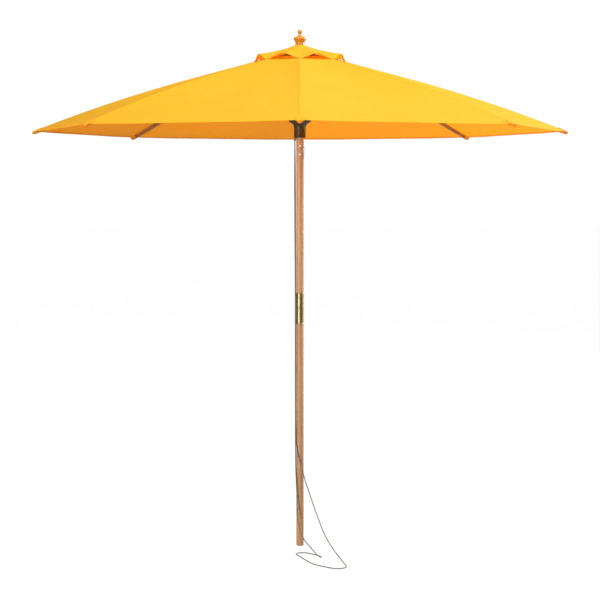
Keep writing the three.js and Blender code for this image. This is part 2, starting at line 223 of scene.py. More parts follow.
def canvas(name, light, deep, glow, translucency):
    """Plain woven canvas, which lets light through. The attribute "cloth" holds the distances from
    the rib's middle, from the pole and from the nearest hem, in metres."""
    n = Nodes(name)
    place = n.add("Attribute", attribute_name="cloth").outputs["Vector"]
    parts = n.add("SeparateXYZ", {"Vector": place}).outputs
    lateral, radial, hem = parts["X"], parts["Y"], parts["Z"]
    thread = 2 * math.pi / WEAVE_PITCH
    warp = n.math("SINE", n.math("MULTIPLY", lateral, thread))
    weft = n.math("SINE", n.math("MULTIPLY", radial, thread))
    weave = n.math("MULTIPLY", warp, weft)
    slub = n.noise(1, 3, 0.6, n.stretched((18, 420, 420)))
    cloud = n.noise(3.2, 3, 0.5)
    fuzz = n.noise(900, 2, 0.7)

    def stitches(distance, at, along):
        """A row of stitches that lies at a distance and runs along the other."""
        line = n.span(n.math("ABSOLUTE", n.math("SUBTRACT", distance, at)), 0.0, 0.0007, 1.0, 0.0)
        wave = n.math("SINE", n.math("MULTIPLY", along, 2 * math.pi / STITCH_PITCH))
        return n.math("MULTIPLY", line, n.span(wave, -0.35, 0.1, 0.0, 1.0))

    rows = stitches(lateral, SEAM_ROW, radial)
    for at in HEM_ROWS:
        rows = n.math("MAXIMUM", rows, stitches(hem, at, lateral))
    doubled = n.math("MAXIMUM", n.span(hem, 0.0185, 0.0200, 1.0, 0.0),
                     n.span(lateral, 0.0065, 0.0080, 1.0, 0.0))
    colour = n.ramp(cloud, (0.25, deep), (0.75, light))
    colour = n.mix(n.span(slub, 0.35, 0.70, 0.0, 0.22), colour, deep)
    colour = n.mix(n.math("MULTIPLY", doubled, 0.15), colour, deep)
    colour = n.mix(n.math("MULTIPLY", rows, 0.30), colour, glow)
    normal = n.bump(weave, 0.12, 0.0002, n.bump(fuzz, 0.06, 0.0002))
    normal = n.bump(rows, 0.5, 0.0004, normal)
    surface = n.shader(Base_Color=colour, Roughness=0.55, Specular_IOR_Level=0.4, Normal=normal)
    lit = n.mix(n.math("MULTIPLY", doubled, 0.45), glow, deep)
    through = n.add("BsdfTranslucent", {"Color": lit, "Normal": normal}).outputs["BSDF"]
    return n.done(n.add("MixShader", {0: translucency, 1: surface, 2: through}).outputs["Shader"])


def moulded(name, light, dark):
    """Moulded plastic with a fine grain, rubbed smoother in patches."""
    n = Nodes(name)
    worn = n.noise(60, 3, 0.6)
    grain = n.noise(1400, 2, 0.5)
    colour = n.ramp(worn, (0.35, dark), (0.70, light))
    rough = n.span(worn, 0.3, 0.7, 0.46, 0.30)
    return n.done(n.shader(Base_Color=colour, Roughness=rough, Normal=n.bump(grain, 0.25, 0.0001)))


def rope_material():
    """Plaited cord with loose fibres and dirty stretches. Its place is the length along it and the
    angle round it."""
    n = Nodes("rope")
    parts = n.add("SeparateXYZ", {"Vector": n.place()}).outputs
    along, turn = parts["X"], parts["Y"]
    pitch = 2 * math.pi / 0.0075

    def strands(operation):
        """Strands that climb round the cord to one side."""
        climb = n.math(operation, n.math("MULTIPLY", along, pitch), n.math("MULTIPLY", turn, 4.0))
        return n.math("SINE", climb)

    plait = n.math("MAXIMUM", strands("ADD"), strands("SUBTRACT"))
    fibre = n.noise(1, 3, 0.7, n.stretched((260, 3, 1)))
    dirt = n.noise(1, 3, 0.6, n.stretched((9, 0.2, 1)))
    # The grooves between the strands are painted darker and the strands' crowns lighter: painted shade
    # between the strands.
    colour = n.ramp(plait, (0.10, srgb(84, 87, 80)), (0.80, srgb(142, 146, 134)))
    colour = n.mix(n.span(fibre, 0.4, 0.7, 0.0, 0.4), colour, srgb(108, 110, 102))
    colour = n.mix(n.span(dirt, 0.5, 0.8, 0.0, 0.35), colour, srgb(116, 110, 94))
    normal = n.bump(plait, 0.5, 0.0006, n.bump(fibre, 0.2, 0.0002))
    return n.done(n.shader(Base_Color=colour, Roughness=0.9, Normal=normal, Sheen_Weight=0.15))


# Each wood's light, dark and pore colours, then its roughness, its varnish and its streaks.
UPPER_WOOD = wood("upper_pole_wood",
                  srgb(226, 188, 140), srgb(208, 164, 114), srgb(160, 112, 70), 0.42, 0.3)
LOWER_WOOD = wood("lower_pole_wood",
                  srgb(220, 174, 124), srgb(198, 144, 92), srgb(148, 98, 58), 0.42, 0.3)
RIB_WOOD = wood("frame_wood",
                srgb(186, 130, 88), srgb(158, 104, 68), srgb(112, 70, 44), 0.5, 0.12, 40)
FINIAL_WOOD = wood("finial_wood",
                   srgb(216, 144, 32), srgb(192, 116, 18), srgb(164, 92, 12), 0.36, 0.25, 24)
CANVAS = canvas("canvas", srgb(255, 213, 62), srgb(254, 206, 52), srgb(255, 132, 0), 0.5)
BRASS = metal("brass", srgb(192, 172, 124), srgb(168, 148, 102), 0.34, 0.03)
BRACKET_BRASS = metal("bracket_brass", srgb(196, 158, 88), srgb(132, 104, 56), 0.34)
DARK_PLASTIC = moulded("dark_plastic", srgb(88, 72, 42), srgb(58, 46, 24))
STEEL = metal("steel", srgb(206, 208, 212), srgb(160, 162, 166), 0.24)
ROPE = rope_material()


# ---- making pieces -----------------------

def add_vectors(mesh, name, values):
    """Puts a vector on each point of the mesh, for its material to read."""
    attribute = mesh.attributes.get(name) or mesh.attributes.new(name, "FLOAT_VECTOR", "POINT")
    attribute.data.foreach_set("vector", np.asarray(values, np.float32).ravel())


def to_object(name, points, faces, material, grain=None, sharp=math.radians(32)):
    """A mesh object. grain holds a place for each point, along the piece first."""
    mesh = bpy.data.meshes.new(name)
    points = np.asarray(points, float)
    mesh.from_pydata(points.tolist(), [], faces)
    mesh.validate()
    mesh.shade_smooth()
    mesh.set_sharp_from_angle(angle=sharp)
    mesh.materials.append(material)
    add_vectors(mesh, "grain", points[:, [2, 0, 1]] if grain is None else grain)
    made = bpy.data.objects.new(name, mesh)
    bpy.context.scene.collection.objects.link(made)
    return made


def finished(piece, body, slot, *nodes):
    """The piece rides on its body and stands for those CAD nodes."""
    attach(piece, body)
    if nodes:
        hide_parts(*nodes)
    return piece


def lathe(profile, segments, origin=(0, 0, 0)):
    """Points and faces of a profile of (radius, height) turned about Z. The profile runs from the
    axis to the axis, or is a loop that ends where it starts."""
    loop = profile[0] == profile[-1]
    profile = profile[:-1] if loop else profile
    points, faces, rings = [], [], []
    for r, z in profile:
        start = len(points)
        if r < 1e-6:
            points.append((0, 0, z))
            rings.append([start] * segments)
            continue
        points += [(r * math.cos(a), r * math.sin(a), z)
                   for a in (2 * math.pi * k / segments for k in range(segments))]
        rings.append(list(range(start, start + segments)))
    pairs = list(zip(rings, rings[1:])) + ([(rings[-1], rings[0])] if loop else [])
    for low, high in pairs:
        for k in range(segments):
            face = [low[k], low[(k + 1) % segments], high[(k + 1) % segments], high[k]]
            face = list(dict.fromkeys(face))
            if len(face) > 2:
                faces.append(face)
    return np.array(points) + np.array(origin), faces


def joined(*parts):
    """Several (points, faces) as one."""
    points, faces, count = [], [], 0
    for p, f in parts:
        points.append(np.asarray(p, float))
        faces += [[v + count for v in face] for face in f]
        count += len(p)
    return np.vstack(points), faces


def rounded(profile, radius, steps=3):
    """A profile whose inner corners are each replaced by a small arc."""
    out = [profile[0]]
    for before, at, after in zip(profile, profile[1:], profile[2:]):
        a, b, c = Vector(before), Vector(at), Vector(after)
        to_a, to_c = (a - b), (c - b)
        if min(to_a.length, to_c.length) < 1e-6 or to_a.angle(to_c) > math.radians(165):
            out.append(at)
            continue
        cut = min(radius, to_a.length * 0.45, to_c.length * 0.45)
        start, end = b + to_a.normalized() * cut, b + to_c.normalized() * cut
        for k in range(steps + 1):
            t = k / steps
            p = start.lerp(b, t).lerp(b.lerp(end, t), t)
            out.append((p.x, p.y))
    out.append(profile[-1])
    return out


def turned(name, profile, material, segments=64, soften=0.0008):
    """A piece turned on a lathe, with its corners softened."""
    points, faces = lathe(rounded(profile, soften) if soften else profile, segments)
    return to_object(name, points, faces, material)


def bar(outline, width, bevel):
    """Points and faces of an outline of (x, z) points, width across y, with softened edges."""
    bm = bmesh.new()
    front = [bm.verts.new((x, -width / 2, z)) for x, z in outline]
    face = bm.faces.new(front)
    pushed = bmesh.ops.extrude_face_region(bm, geom=[face])
    verts = [g for g in pushed["geom"] if isinstance(g, bmesh.types.BMVert)]
    bmesh.ops.translate(bm, vec=(0, width, 0), verts=verts)
    bmesh.ops.recalc_face_normals(bm, faces=bm.faces)
    bm.normal_update()
    edges = [e for e in bm.edges if len(e.link_faces) == 2 and e.calc_face_angle(0) > math.radians(40)]
    bmesh.ops.bevel(bm, geom=edges, offset=bevel, segments=2, profile=0.6, affect="EDGES")
    bm.verts.index_update()
    points = np.array([v.co for v in bm.verts])
    faces = [[v.index for v in f.verts] for f in bm.faces]
    bm.free()
    return points, faces


def rod(start, end, radius, sides=12, dome=0.0):
    """A round rod between two points, with chamfered or domed ends."""
    start, end = Vector(start), Vector(end)
    length = (end - start).length
    edge = min(radius * 0.25, length * 0.2)
    profile = [(0, -dome), (radius * 0.6, -dome * 0.75), (radius - edge, 0), (radius, edge),
               (radius, length - edge), (radius - edge, length), (radius * 0.6, length + dome * 0.75),
               (0, length + dome)]
    points, faces = lathe(profile, sides)
    turn = (end - start).to_track_quat("Z", "Y").to_matrix()
    return np.array([turn @ Vector(p) + start for p in points]), faces


def ring(centre, normal, major, minor, around=48, sides=10, stretch=0.0):
    """A torus, or a chain link when stretched along its own x axis."""
    turn = Vector(normal).to_track_quat("Z", "Y").to_matrix()
    points, faces = [], []
    for k in range(around):
        a = 2 * math.pi * k / around
        for j in range(sides):
            b = 2 * math.pi * j / sides
            r = major + minor * math.cos(b)
            x = r * math.cos(a) + math.copysign(stretch / 2, math.cos(a))
            points.append(turn @ Vector((x, r * math.sin(a), minor * math.sin(b))) + Vector(centre))
    for k in range(around):
        for j in range(sides):
            a, b = k * sides, (k + 1) % around * sides
            faces.append([a + j, b + j, b + (j + 1) % sides, a + (j + 1) % sides])
    return np.array(points), faces


def in_sector(points, i):
    """Points given in rib i's own frame, in the part's frame."""
    c, s = math.cos(rib_angle(i)), math.sin(rib_angle(i))
    p = np.asarray(points, float)
    return np.column_stack([p[:, 0] * c - p[:, 1] * s, p[:, 0] * s + p[:, 1] * c, p[:, 2]])


def cut_away(piece, *tools, operation="DIFFERENCE"):
    """The piece with each of the (points, faces) cut out of it, or joined to it by a union."""
    for points, faces in tools:
        tool = to_object("cutter", points, faces, piece.data.materials[0])
        modifier = piece.modifiers.new("cut", "BOOLEAN")
        modifier.operation, modifier.solver, modifier.object = operation, "EXACT", tool
        graph = bpy.context.evaluated_depsgraph_get()
        mesh = bpy.data.meshes.new_from_object(piece.evaluated_get(graph))
        piece.modifiers.clear()
        piece.data = mesh
        bpy.data.objects.remove(tool)
    co = np.array([v.co for v in piece.data.vertices])
    piece.data.shade_smooth()
    piece.data.set_sharp_from_angle(angle=math.radians(32))
    add_vectors(piece.data, "grain", co[:, [2, 0, 1]])
    return piece


def block(low, high):
    """A box as (points, faces)."""
    x, y, z = zip(low, high)
    points = [(x[a], y[b], z[c]) for a in (0, 1) for b in (0, 1) for c in (0, 1)]
    return points, [[0, 1, 3, 2], [4, 6, 7, 5], [0, 4, 5, 1], [2, 3, 7, 6], [0, 2, 6, 4], [1, 5, 7, 3]]


# ---- rope --------------------------------

ROPE_STEP, ROPE_SIDES, ROPE_LAY = 0.0035, 12, 0.022
OVER_PULLEY = [math.pi * (1 - k / 6) for k in range(7)]
# In millimetres: up from the knot, over the pulley, down the pole, out to the loop on the ground, and
# back up to the knot. Along the pole it lies a few millimetres nearer to the wood than in the CAD.
ROPE_ROUTE = [
    (-26, -10.5, 2092), (-26, -10.5, 2440),
    *[(-26, 1000 * PULLEY_PITCH * math.cos(a), 1000 * (PULLEY_Z + PULLEY_PITCH * math.sin(a)))
      for a in OVER_PULLEY],
    (-26, 10.5, 2440), (-26, 10.5, 2100), (-24.2, 9.6, 1900), (-22.8, 7.5, 1290), (-22.4, 3, 900),
    (-22.2, -5, 640), (-20.5, -10.5, 565), (-17.5, -14.8, 521), (-12.9, -18.8, 491), (-6.4, -23, 466),
    (7.7, -28, 418),
    (25, -35, 350), (51, -50, 274), (73, -76, 214), (96, -112, 157), (120, -160, 104), (145, -214, 66),
    (175, -285, 35), (208, -372, 11), (223, -424, 3), (225, -462, 3), (205, -485, 3), (172, -490, 3),
    (120, -455, 3), (68, -405, 3), (24, -312, 3), (-9, -232, 3), (-19, -200, 3), (-8, -178, 3), (29, -176, 3),
    (62, -200, 3), (86, -224, 3), (99, -244, 3), (107, -259, 3), (106, -271, 4.5), (97, -273, 8),
    (86, -258, 13), (64, -219, 28), (46, -190, 43), (28, -160, 57), (15, -130, 71), (3, -98, 91),
    (-5, -72, 117), (-10, -53, 146), (-13, -38, 193), (-15, -29, 243), (-16.5, -25, 282),
    (-19.5, -19.5, 346), (-22.3, -15, 424), (-23.6, -11, 900), (-24.0, -9.5, 1300), (-27.2, -9, 1900),
    (-26, -10.5, 2080), (-26, -10.5, 2091),
]


def through(points, step):
    """A smooth line through the points (centripetal Catmull-Rom), with a point about every step."""
    pts = [Vector(p) for p in points]
    pts = [pts[0] * 2 - pts[1], *pts, pts[-1] * 2 - pts[-2]]
    line = []
    for a, b, c, d in zip(pts, pts[1:], pts[2:], pts[3:]):
        t = [0.0]
        for p, q in ((a, b), (b, c), (c, d)):
            t.append(t[-1] + max((q - p).length, 1e-9) ** 0.5)
        count = max(1, round((c - b).length / step))
        for k in range(count):
            u = t[1] + (t[2] - t[1]) * k / count
            a1 = a.lerp(b, (u - t[0]) / (t[1] - t[0]))
            a2 = b.lerp(c, (u - t[1]) / (t[2] - t[1]))
            a3 = c.lerp(d, (u - t[2]) / (t[3] - t[2]))
            b1 = a1.lerp(a2, (u - t[0]) / (t[2] - t[0]))
            b2 = a2.lerp(a3, (u - t[1]) / (t[3] - t[1]))
            line.append(b1.lerp(b2, (u - t[1]) / (t[2] - t[1])))
    line.append(pts[-2])
    return line


def tube_on(line, radius, sides):
    """A tube along the line, its rings turned as little as possible. radius is a function of a place:
    the length so far and the angle round the tube. Returns the points, the faces, each point's place
    and the whole length."""
    tangents = [(b - a).normalized() for a, b in zip(line, line[1:])]
    tangents = [tangents[0], *[(a + b).normalized() for a, b in zip(tangents, tangents[1:])], tangents[-1]]
    side = tangents[0].orthogonal().normalized()
    points, places, faces, length = [], [], [], 0.0
    for k, (at, tangent) in enumerate(zip(line, tangents)):
        if k:
            side = (side - tangent * side.dot(tangent)).normalized()
            length += (at - line[k - 1]).length
        up = tangent.cross(side)
        for j in range(sides):
            a = 2 * math.pi * j / sides
            points.append(at + (side * math.cos(a) + up * math.sin(a)) * radius(length, a))
            places.append((length, a, 0.0))
    for k in range(len(line) - 1):
        for j in range(sides):
            a, b = k * sides, (k + 1) * sides
            faces.append([a + j, a + (j + 1) % sides, b + (j + 1) % sides, b + j])
    last = (len(line) - 1) * sides
    faces += [list(range(sides))[::-1], list(range(last, last + sides))]
    return points, faces, places, length


def laid(length, angle):
    """Radius of the cord, with the ridges of its plait."""
    return ROPE_R * (0.955 + 0.045 * math.cos(3 * angle - 2 * math.pi * length / ROPE_LAY))


rope_line = through([Vector(p) / 1000 for p in ROPE_ROUTE], ROPE_STEP)
points, faces, places, rope_length = tube_on(rope_line, laid, ROPE_SIDES)
rope = to_object("rope_cord", points, faces, ROPE, places, math.radians(70))
finished(rope, "mast", "rope_grey", "rope")

# The knot at the runner, whipped with turns of cord.
KNOT_X, WHIP_R, WHIP_CORD_R = -0.0265, 0.0032, 0.0021
whipping = [ring((KNOT_X, 0, KNOT_Z - 0.002 + up), (lean, 0, 1), WHIP_R, WHIP_CORD_R, 24, 8)
            for up, lean in ((-0.0052, 0.12), (-0.0018, -0.12), (0.0018, 0.12), (0.0052, -0.12))]
core = rod((KNOT_X, 0, KNOT_Z - 0.0095), (KNOT_X, 0, KNOT_Z + 0.0055), 0.0024, 10, 0.0006)
points, faces = joined(*whipping, core)
knot = to_object("rope_knot_whipped", points, faces, ROPE, points[:, [2, 0, 1]] * (1, 100, 1))
finished(knot, "runner", "rope_grey", "rope_knot")

# ---- pole --------------------------------

SPLIT_Z, SPLIT_GAP = 1.230, 0.0003     # the halves meet inside the ferrule
LOWER_SHOULDER, UPPER_SHOULDER = 1.151, 1.3106
NECK_R, NECK_Z, POLE_TOP = 0.015, 2.5, 2.529
lower = [(0, 0), (POLE_R - 0.003, 0), (POLE_R, 0.003), (POLE_R, 0.4), (POLE_R, 0.8),
         (POLE_R, LOWER_SHOULDER), (SPIGOT_R, LOWER_SHOULDER), (SPIGOT_R, SPLIT_Z - SPLIT_GAP),
         (0, SPLIT_Z - SPLIT_GAP)]
finished(turned("pole_lower_turned", lower, LOWER_WOOD), "mast", "pole_wood", "pole_lower")
upper = [(0, SPLIT_Z), (SPIGOT_R, SPLIT_Z), (SPIGOT_R, UPPER_SHOULDER), (POLE_R, UPPER_SHOULDER),
         (POLE_R, 1.9), (POLE_R, 2.3), (POLE_R, NECK_Z), (NECK_R, NECK_Z), (NECK_R, POLE_TOP),
         (0, POLE_TOP)]
pole_upper = turned("pole_upper_turned", upper, UPPER_WOOD)
cut_away(pole_upper, *[rod((0, -0.03, z), (0, 0.03, z), PIN_HOLE_R, 24) for z in PIN_HOLES])
finished(pole_upper, "mast", "pole_wood", "pole_upper")

# A tube with a bead round each end and two screws on each side.
FERRULE_BORE_R, FERRULE_R, BEAD, BEAD_LENGTH = 0.0177, 0.0195, 0.0003, 0.004
bead = [(FERRULE_R + BEAD - BEAD * math.cos(2 * math.pi * k / 12), BEAD_LENGTH * k / 12)
        for k in range(13)]
ferrule = [(FERRULE_BORE_R, FERRULE_LOW), *[(r, FERRULE_LOW + h) for r, h in bead],
           (FERRULE_R, FERRULE_LOW + BEAD_LENGTH + 0.001),
           (FERRULE_R, FERRULE_HIGH - BEAD_LENGTH - 0.001),
           *[(r, FERRULE_HIGH - h) for r, h in bead[::-1]],
           (FERRULE_BORE_R, FERRULE_HIGH), (FERRULE_BORE_R, FERRULE_LOW)]
screws = [rod((side * 0.0190, 0, z), (side * 0.0201, 0, z), 0.0026, 16, 0.0005)
          for side in (-1, 1) for z in (FERRULE_LOW + 0.012, FERRULE_HIGH - 0.012)]
points, faces = joined(lathe(ferrule, 64), *screws)
finished(to_object("pole_ferrule_tube", points, faces, BRASS), "mast", "ferrule_brass", "pole_ferrule")

# ---- crown -------------------------------


def slots(inner, width, low, high):
    """One box for each rib, outward from the inner radius."""
    points, faces = block((inner, -width / 2, low), (0.080, width / 2, high))
    return [(in_sector(points, i), faces) for i in range(1, RIBS + 1)]


HUB_LOW = 2.486
hub_profile = [(0.0193, HUB_LOW), (0.050, HUB_LOW), (0.060, 2.496), (0.060, 2.523), (0.052, POLE_TOP),
               (0.0153, POLE_TOP), (0.0153, 2.5003), (0.0193, 2.5003), (0.0193, HUB_LOW)]
# The hub takes the runner's dark moulding. Its dark colour is partly the moulding's own and partly painted
# shade, standing in for the shade it sits in under the cap.
hub = turned("crown_hub_slotted", hub_profile, DARK_PLASTIC, 96, soften=0.0015)
cut_away(hub, *slots(0.034, 0.0158, HUB_LOW - 0.006, POLE_TOP + 0.006))
finished(hub, "mast", "dark_moulding", "crown_hub")

WIRE_R = 0.0015
wire = ring((0, 0, HUB_Z), (0, 0, 1), PIVOT_R, WIRE_R, 96)
finished(to_object("crown_wire_ring", *wire, STEEL), "mast", "steel", "crown_wire")
spacer = [(0, 2.5293), (0.031, 2.5293), (0.031, 2.5345), (0.027, 2.540), (0.0245, 2.548),
          (0.023, 2.5608), (0, 2.5608)]
finished(turned("crown_spacer_turned", spacer, RIB_WOOD), "mast", "frame_wood", "crown_spacer")

# A neck, a wide turned rim, a second neck, and a ball.
BALL_R, BALL_Z = 0.0115, 2.6305
finial = [(0, 2.5633), (0.024, 2.5633), (0.0242, 2.5655), (0.0228, 2.5690), (0.0222, 2.5725),
          (0.0228, 2.5765), (0.0248, 2.5815), (0.0280, 2.5865), (0.0308, 2.5910), (0.0320, 2.5950),
          (0.0316, 2.5985), (0.0290, 2.6020), (0.0240, 2.6050), (0.0180, 2.6072), (0.0130, 2.6090),
          (0.0095, 2.6108), (0.0078, 2.6128), (0.0074, 2.6152), (0.0076, 2.6190)]
finial += [(BALL_R * math.cos(a), BALL_Z + BALL_R * math.sin(a))
           for a in np.linspace(-0.80, math.pi / 2, 12)[:-1]]
finial.append((0, BALL_Z + BALL_R))
finished(turned("finial_turned", finial, FINIAL_WOOD, soften=0), "mast", "finial_wood", "finial")

# ---- pulley ------------------------------

# Radius and distance from the wheel's middle plane, from the bore to the bottom of the groove.
half_wheel = [(0.00205, -0.0042), (0.0055, -0.0042), (0.0060, -0.0034), (0.0100, -0.0034),
              (0.0105, -0.0042), (0.0132, -0.0042), (0.0132, -0.0036), (0.0105, -0.0031),
              (0.0088, -0.0024), (0.0076, -0.0012)]
wheel = [*half_wheel, (0.0073, 0), *[(r, -z) for r, z in half_wheel[::-1]], half_wheel[0]]
points, faces = lathe(wheel, 48)
points = points[:, [2, 1, 0]] * (1, 1, -1) + (PULLEY_X, 0, PULLEY_Z)
finished(to_object("pulley_wheel_grooved", points, faces, BRASS), "pulley", "brass_fittings", "pulley_wheel")

# The bracket and the stud keep their CAD shape.
for name in ("pulley_bracket", "finial_stud"):
    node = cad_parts[name]
    node.data.materials.clear()
    node.data.materials.append(STEEL)
    edge = node.modifiers.new("soft_edges", "BEVEL")
    edge.width, edge.segments, edge.limit_method, edge.angle_limit = 0.0004, 2, "ANGLE", math.radians(40)

# ---- runner, lock pin --------------------

# Radius of the runner's bell, and how far it lies below the struts' hinges.
RUNNER_FLARE = [(0.0290, 0.048), (0.0294, 0.040), (0.0310, 0.034), (0.0338, 0.029), (0.0378, 0.0245),
                (0.0430, 0.0205), (0.0490, 0.0170), (0.0540, 0.0145), (0.0565, 0.0120), (0.0570, 0.0090)]
low, high = RUNNER_BOTTOM, RUNNER_Z + 0.012
runner_profile = [(0.0206, low), (0.0292, low), (0.0300, low + 0.002), (0.0300, low + 0.006),
                  (0.0290, low + 0.009)]
runner_profile += [(r, RUNNER_Z - below) for r, below in RUNNER_FLARE]
runner_profile += [(0.0570, high - 0.003), (0.0540, high), (0.0206, high), (0.0206, low)]
runner = turned("runner_slotted", runner_profile, DARK_PLASTIC, 96, soften=0.0012)
rope_housing = block((-0.0303, -0.0165, low), (-0.0212, 0.0165, RUNNER_Z - 0.014))
rope_channel = block((-0.0291, -0.0140, low - 0.005), (-0.0218, 0.0140, high + 0.005))
cut_away(runner, rope_housing, operation="UNION")
cut_away(runner, *slots(0.035, 0.0148, RUNNER_Z - 0.0105, RUNNER_Z + 0.02), rope_channel)
finished(runner, "runner", "dark_moulding", "runner")
wire = ring((0, 0, RUNNER_Z), (0, 0, 1), PIVOT_R, WIRE_R, 96)
finished(to_object("runner_wire_ring", *wire, STEEL), "runner", "steel", "runner_wire")

pin_x, pin_y = PIN_R * math.cos(PIN_ANGLE), PIN_R * math.sin(PIN_ANGLE)
# Radius and distance from the pin's top: a tapered end, a shank and a head.
pin = [(0, -0.062), (0.0020, -0.062), (0.0034, -0.0585), (0.0034, -0.0062), (0.0052, -0.0055),
       (0.0055, -0.0040), (0.0052, -0.0022), (0.0030, -0.0012), (0, -0.0010)]
points, faces = lathe(pin, 24, (pin_x, pin_y, PIN_TOP))
eye = ring((pin_x, pin_y, PIN_TOP - 0.0002), (1, 0, 0), 0.0026, 0.0008, 20, 8)
points, faces = joined((points, faces), eye)
finished(to_object("lock_pin_turned", points, faces, STEEL), "lock_pin", "steel", "lock_pin")
LINKS, LINK_R, LINK_WIRE_R, LINK_STRETCH = 9, 0.0017, 0.00062, 0.0024
chain_low, chain_high = PIN_TOP + 0.0012, RUNNER_BOTTOM + 0.0005
chain = []
for k in range(LINKS):
    z = chain_low + (chain_high - chain_low) * (k + 0.5) / LINKS
    points, faces = ring((0, 0, 0), (0, 0, 1), LINK_R, LINK_WIRE_R, 20, 8, LINK_STRETCH)
    points = points[:, [1, 2, 0]] if k % 2 else points[:, [2, 1, 0]]
    chain.append((points + (pin_x, pin_y, z), faces))
points, faces = joined(*chain)
finished(to_object("pin_chain_links", points, faces, STEEL), "lock_pin", "steel", "pin_chain")

# ---- ribs and struts ---------------------


def rib_top(r):
    """Height of the ribs' tops, just under the canopy."""
    return cloth_z(r) - RIB_DROP


def rib_outline():
    """Seen from the side: a nose round the crown ring, then a bar that follows the canopy."""
    pitch, half = math.atan(0.266), RIB_HEIGHT / 2
    stations = [0.12, 0.35, BEND_R, 0.72, 0.85, 0.98, 1.10, 1.22, 1.255, 1.29, RIB_END]

    def height(r):
        share = max(0.0, (r - BEND_R) / (RIB_END - BEND_R))
        taper = 0.0036 * smooth(r, 1.22, RIB_END)              # thinner at the end, to go into its pocket
        return (RIB_HEIGHT + (RIB_END_HEIGHT - RIB_HEIGHT) * share - taper) / math.cos(pitch)

    nose = [(PIVOT_R + half * math.cos(a), HUB_Z + half * math.sin(a))
            for a in np.linspace(math.pi / 2 - pitch, 1.5 * math.pi - pitch, 13)]
    below = [(r, rib_top(r) - height(r)) for r in stations]
    tip = [(RIB_END + 0.004, rib_top(RIB_END) - height(RIB_END) * share) for share in (0.75, 0.25)]
    return nose + below + tip + [(r, rib_top(r)) for r in stations[::-1]]


def strut_outline():
    """Seen from the side: a bar with round ends, from its lower hinge along x."""
    half = STRUT_HEIGHT / 2

    def round_end(x, start):
        return [(x + half * math.cos(a), half * math.sin(a)) for a in np.linspace(start, start + math.pi, 11)]

    return round_end(0, math.pi / 2) + round_end(STRUT_LENGTH, -math.pi / 2)


def bracket():
    """Two cheeks on the sides of a rib, with the strut's pivot pin and four screws."""
    x, z = STRUT_PIVOT
    inside, thick = RIB_WIDTH / 2 + 0.0003, 0.0016
    middle = rib_top(x) - RIB_HEIGHT / 2
    outline = [(x + 0.0075 * math.cos(a), z + 0.0075 * math.sin(a))
               for a in np.linspace(math.pi, 2 * math.pi, 11)]
    outline += [(x + 0.020, middle - 0.008), (x + 0.020, middle + 0.003), (x - 0.020, middle + 0.009),
                (x - 0.020, middle - 0.004)]
    points, faces = bar(outline, thick, 0.0003)
    out = inside + thick
    parts = [(points + (0, side * (inside + thick / 2), 0), faces) for side in (-1, 1)]
    parts.append(rod((x, -out - 0.0004, z), (x, out + 0.0004, z), 0.0028))
    for side in (-1, 1):
        for x_at, z_at, head_r, high in ((x, z, 0.0050, 0.0012), (x - 0.013, middle + 0.0025, 0.0030, 0.0008),
                                         (x + 0.013, middle - 0.0035, 0.0030, 0.0008)):
            foot = (x_at, side * (out - 0.0002), z_at)
            parts.append(rod(foot, (x_at, side * (out + high), z_at), head_r, 16, 0.0004))
    return joined(*parts)


WOOD_BEVEL = 0.0016
rib_shape = bar(rib_outline(), RIB_WIDTH, WOOD_BEVEL)
strut_shape = bar(strut_outline(), STRUT_WIDTH, WOOD_BEVEL)
bracket_shape = bracket()
tilt = Matrix.Rotation(-STRUT_ANGLE, 3, "Y")
for i in range(1, RIBS + 1):
    shift = np.array((0.37 * i, 0.11 * i, 0.0))                    # so that no two pieces of wood look alike
    points, faces = rib_shape
    finished(to_object(f"rib_{i}_wood", in_sector(points, i), faces, RIB_WOOD, points + shift),
             f"rib_{i}", "frame_wood", f"rib_{i}")
    points, faces = strut_shape
    placed = np.array([tilt @ Vector(p) for p in points]) + (PIVOT_R, 0, RUNNER_Z)
    finished(to_object(f"strut_{i}_wood", in_sector(placed, i), faces, RIB_WOOD, points - shift),
             f"strut_{i}", "frame_wood", f"strut_{i}")
    points, faces = bracket_shape
    finished(to_object(f"rib_bracket_{i}_riveted", in_sector(points, i), faces, BRACKET_BRASS, points),
             f"rib_{i}", "brass_fittings", f"rib_bracket_{i}")

# ---- canopy ------------------------------

COS, SIN = math.cos(SECTOR / 2), math.sin(SECTOR / 2)
SIDES = ((1, "left"), (-1, "right"))
HEM, HEM_DROOP = 0.019, 0.0055         # the hem's width, and how far it hangs between the ribs
HEM_FOLD, HEM_UNDER = -0.0006, -0.0013  # from the cloth's height to the hem's fold, and to its underside
SEAM_RISE, HEM_RISE = 0.0005, 0.0004   # where the cloth is doubled
NEAR = (0, 0.0035, 0.0064, 0.0076, 0.012, 0.020)   # steps from the rib's middle, close to its seam
FAR = np.linspace(0, 1, 21)[1:]        # shares of the way from there to the panel's middle
# Distance from the pole and height over the cloth, from the vent's hem out to the outer hem.
PANEL_ROWS = [(VENT_R + HEM * 0.7, HEM_UNDER), (VENT_R + 0.0012, HEM_UNDER), (VENT_R, HEM_FOLD),
              *[(VENT_R + d, 0) for d in (0.0012, 0.004, 0.013, 0.0145, 0.024)],
              *[(r, 0) for r in np.linspace(0.210, 1.300, 48)],
              *[(CANOPY_R - d, 0) for d in (0.035, 0.0205, 0.0190, 0.010, 0.004, 0.0012)],
              (CANOPY_R, HEM_FOLD), (CANOPY_R - 0.0012, HEM_UNDER), (CANOPY_R - HEM, HEM_UNDER)]


def middle_z(r):
    """Height of a panel's middle, which is straight from the vent to the hem."""
    t = (r - VENT_R) / (CANOPY_R - VENT_R)
    return cloth_z(VENT_R) + (cloth_z(CANOPY_R) - cloth_z(VENT_R)) * t


def droop(r, lateral):
    """How far the hem hangs, which is less where a rib holds it."""
    return HEM_DROOP * smooth(r, 1.31, CANOPY_R) * (0.45 + 0.55 * smooth(lateral, 0, 0.25))


def hem_distance(r):
    """Distance to the nearest hem."""
    return min(CANOPY_R - r, r - VENT_R)


